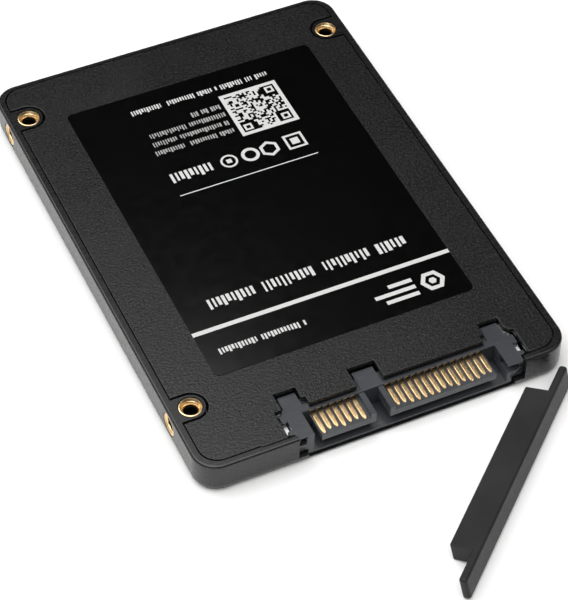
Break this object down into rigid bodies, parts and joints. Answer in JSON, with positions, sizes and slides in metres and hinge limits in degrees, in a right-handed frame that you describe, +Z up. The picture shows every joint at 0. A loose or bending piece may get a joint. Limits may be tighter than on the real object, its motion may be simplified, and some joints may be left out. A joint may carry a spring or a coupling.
{
  "type": "solid state drive",
  "caption": "Slim 2.5-inch solid state drive in a black plastic case with an edge connector, brass mounting threads, a printed label and a loose protective connector cap.",
  "frame": {"origin": "middle of the drive's closed underside, on the plane that the drive and its cap rest on", "axes": "+X to the right as seen from the connector end, +Y from the connector end to the back end, +Z up towards the label"},
  "size_m": [0.0698, 0.1363, 0.007],
  "materials": {
    "housing_plastic": "satin moulded black",
    "plate_plastic": "spark-eroded matt black",
    "cap_plastic": "satin moulded black",
    "connector_plastic": "satin moulded blue-grey black",
    "label_film": "semi-gloss printed film",
    "brass": "turned and lightly polished",
    "contact_gold": "gold-plated stamped alloy",
    "tin": "bright tinned",
    "screw_steel": "zinc-plated",
    "board_resin": "black solder-masked laminate",
    "chip_epoxy": "moulded epoxy",
    "ferrite": "sintered",
    "capacitor_body": "moulded"
  },
  "bodies": {
    "drive": {"board_lock_left": "tin", "board_lock_right": "tin", "board_screw_1": "screw_steel", "board_screw_2": "screw_steel", "board_screw_3": "screw_steel", "cache_chip": "chip_epoxy", "capacitor_1": "capacitor_body", "capacitor_2": "capacitor_body", "circuit_board": "board_resin", "controller_chip": "chip_epoxy", "cover_plate": "plate_plastic", "crystal": "tin", "firmware_chip": "chip_epoxy", "flash_chip_1": "chip_epoxy", "flash_chip_2": "chip_epoxy", "flash_chip_3": "chip_epoxy", "housing_shell": "housing_plastic", "inductor_1": "ferrite", "inductor_2": "ferrite", "label": "label_film", "label_side_insert_1": "brass", "label_side_insert_2": "brass", "label_side_insert_3": "brass", "power_contact_01": "contact_gold", "power_contact_02": "contact_gold", "power_contact_03": "contact_gold", "power_contact_04": "contact_gold", "power_contact_05": "contact_gold", "power_contact_06": "contact_gold", "power_contact_07": "contact_gold", "power_contact_08": "contact_gold", "power_contact_09": "contact_gold", "power_contact_10": "contact_gold", "power_contact_11": "contact_gold", "power_contact_12": "contact_gold", "power_contact_13": "contact_gold", "power_contact_14": "contact_gold", "power_contact_15": "contact_gold", "power_regulator": "chip_epoxy", "sata_connector_body": "connector_plastic", "side_insert_1": "brass", "side_insert_2": "brass", "side_insert_3": "brass", "side_insert_4": "brass", "signal_contact_01": "contact_gold", "signal_contact_02": "contact_gold", "signal_contact_03": "contact_gold", "signal_contact_04": "contact_gold", "signal_contact_05": "contact_gold", "signal_contact_06": "contact_gold", "signal_contact_07": "contact_gold"},
    "cap": {"connector_cap": "cap_plastic"}
  },
  "joints": [
    {"name": "cap_slide", "type": "slide", "parent": "drive", "child": "cap", "axis": [0, -1, 0], "range_m": [0, 0.025]}
  ]
}
